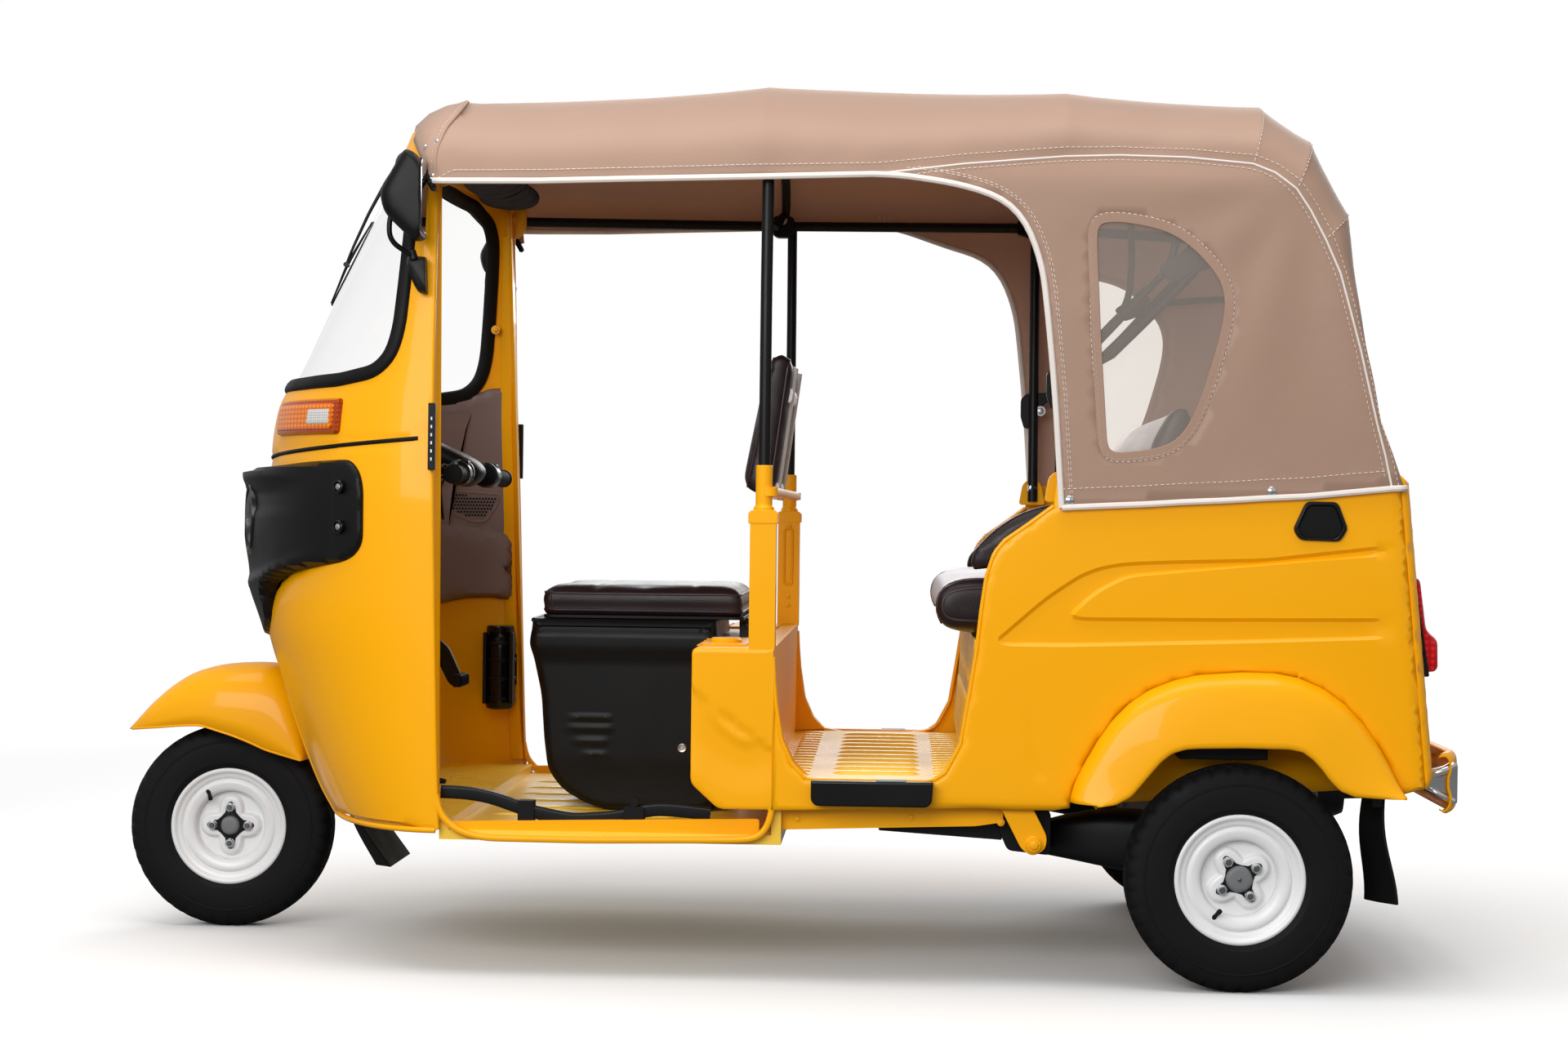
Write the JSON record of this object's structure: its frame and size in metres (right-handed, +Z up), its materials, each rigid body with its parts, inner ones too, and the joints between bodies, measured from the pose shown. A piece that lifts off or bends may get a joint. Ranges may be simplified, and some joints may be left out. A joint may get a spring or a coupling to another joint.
{
  "type": "auto rickshaw",
  "caption": "Three-wheeled auto rickshaw with open doorways, a driver's saddle box, rear bench, canvas hood on hoops and a steered single front wheel under a beak mudguard.",
  "frame": {"origin": "on the ground under the middle of the overall length, on the centre plane", "axes": "+X forward, +Y to the vehicle's left, +Z up"},
  "size_m": [2.639, 1.3, 1.716],
  "materials": {
    "body_paint": "gloss",
    "black_plastic": "satin",
    "rubber_trim": "matte",
    "clear_glass": "clear",
    "lamp_amber": "gloss",
    "lamp_red": "gloss",
    "trim_plastic": "grained",
    "seat_vinyl": "grained",
    "cast_metal": "cast",
    "black_steel": "satin",
    "shaft_steel": "machined",
    "chrome": "polished",
    "hood_canvas": "coated",
    "clear_sheet": "clear",
    "rim_silver": "gloss",
    "tyre_rubber": "matte"
  },
  "bodies": {
    "chassis": {"floor_pan": "body_paint", "front_cowl": "body_paint", "wheel_housing": "body_paint", "windscreen": "clear_glass", "windscreen_seal": "rubber_trim", "headlamp_mask": "black_plastic", "headlamps": "clear_glass", "turn_lamps": "lamp_amber", "dashboard": "trim_plastic", "wiper": "black_plastic", "mirrors": "black_plastic", "tank_box": "body_paint", "quarter_panels": "body_paint", "wheel_arches": "body_paint", "rear_panel": "body_paint", "seat_base": "body_paint", "rear_cushion": "seat_vinyl", "rear_backrest": "seat_vinyl", "armrest_pads": "seat_vinyl", "engine": "cast_metal", "trailing_arms": "black_steel", "shock_absorbers": "black_steel", "drive_shafts": "shaft_steel", "tail_lamps": "lamp_red", "rear_bumper": "chrome", "mudflaps": "rubber_trim", "side_vents": "black_plastic", "step_blocks": "black_plastic", "roof_frame": "black_steel", "hood": "hood_canvas", "hood_windows": "clear_sheet", "seat_box": "black_plastic", "driver_backrest": "seat_vinyl", "backrest_frame": "chrome", "floor_rail": "black_steel", "brake_pedal": "black_steel", "bottle": "black_plastic"},
    "steering": {"fork": "black_steel", "front_mudguard": "body_paint", "handlebar": "black_steel"},
    "front_wheel": {"front_rim": "rim_silver", "front_tyre": "tyre_rubber"},
    "rear_left_wheel": {"rear_left_rim": "rim_silver", "rear_left_tyre": "tyre_rubber"},
    "rear_right_wheel": {"rear_right_rim": "rim_silver", "rear_right_tyre": "tyre_rubber"},
    "hatch": {"rear_hatch": "body_paint"},
    "seat_lid": {"driver_seat": "seat_vinyl"}
  },
  "joints": [
    {"name": "steer", "type": "hinge", "parent": "chassis", "child": "steering", "pos_m": [1.0805, 0, 0.208], "axis": [-0.4067, 0, 0.9135], "range_deg": [-40, 40]},
    {"name": "front_wheel_spin", "type": "hinge", "parent": "steering", "child": "front_wheel", "pos_m": [1.1005, 0, 0.208], "axis": [0, 1, 0], "continuous": true},
    {"name": "rear_left_wheel_spin", "type": "hinge", "parent": "chassis", "child": "rear_left_wheel", "pos_m": [-0.8995, 0.575, 0.208], "axis": [0, 1, 0], "continuous": true},
    {"name": "rear_right_wheel_spin", "type": "hinge", "parent": "chassis", "child": "rear_right_wheel", "pos_m": [-0.8995, -0.575, 0.208], "axis": [0, 1, 0], "continuous": true},
    {"name": "hatch_swing", "type": "hinge", "parent": "chassis", "child": "hatch", "pos_m": [-1.22591, 0, 0.85], "axis": [0, 1, 0], "range_deg": [0, 75]},
    {"name": "seat_lift", "type": "hinge", "parent": "chassis", "child": "seat_lid", "pos_m": [0.0385, 0, 0.636], "axis": [0, -1, 0], "range_deg": [0, 55]}
  ]
}
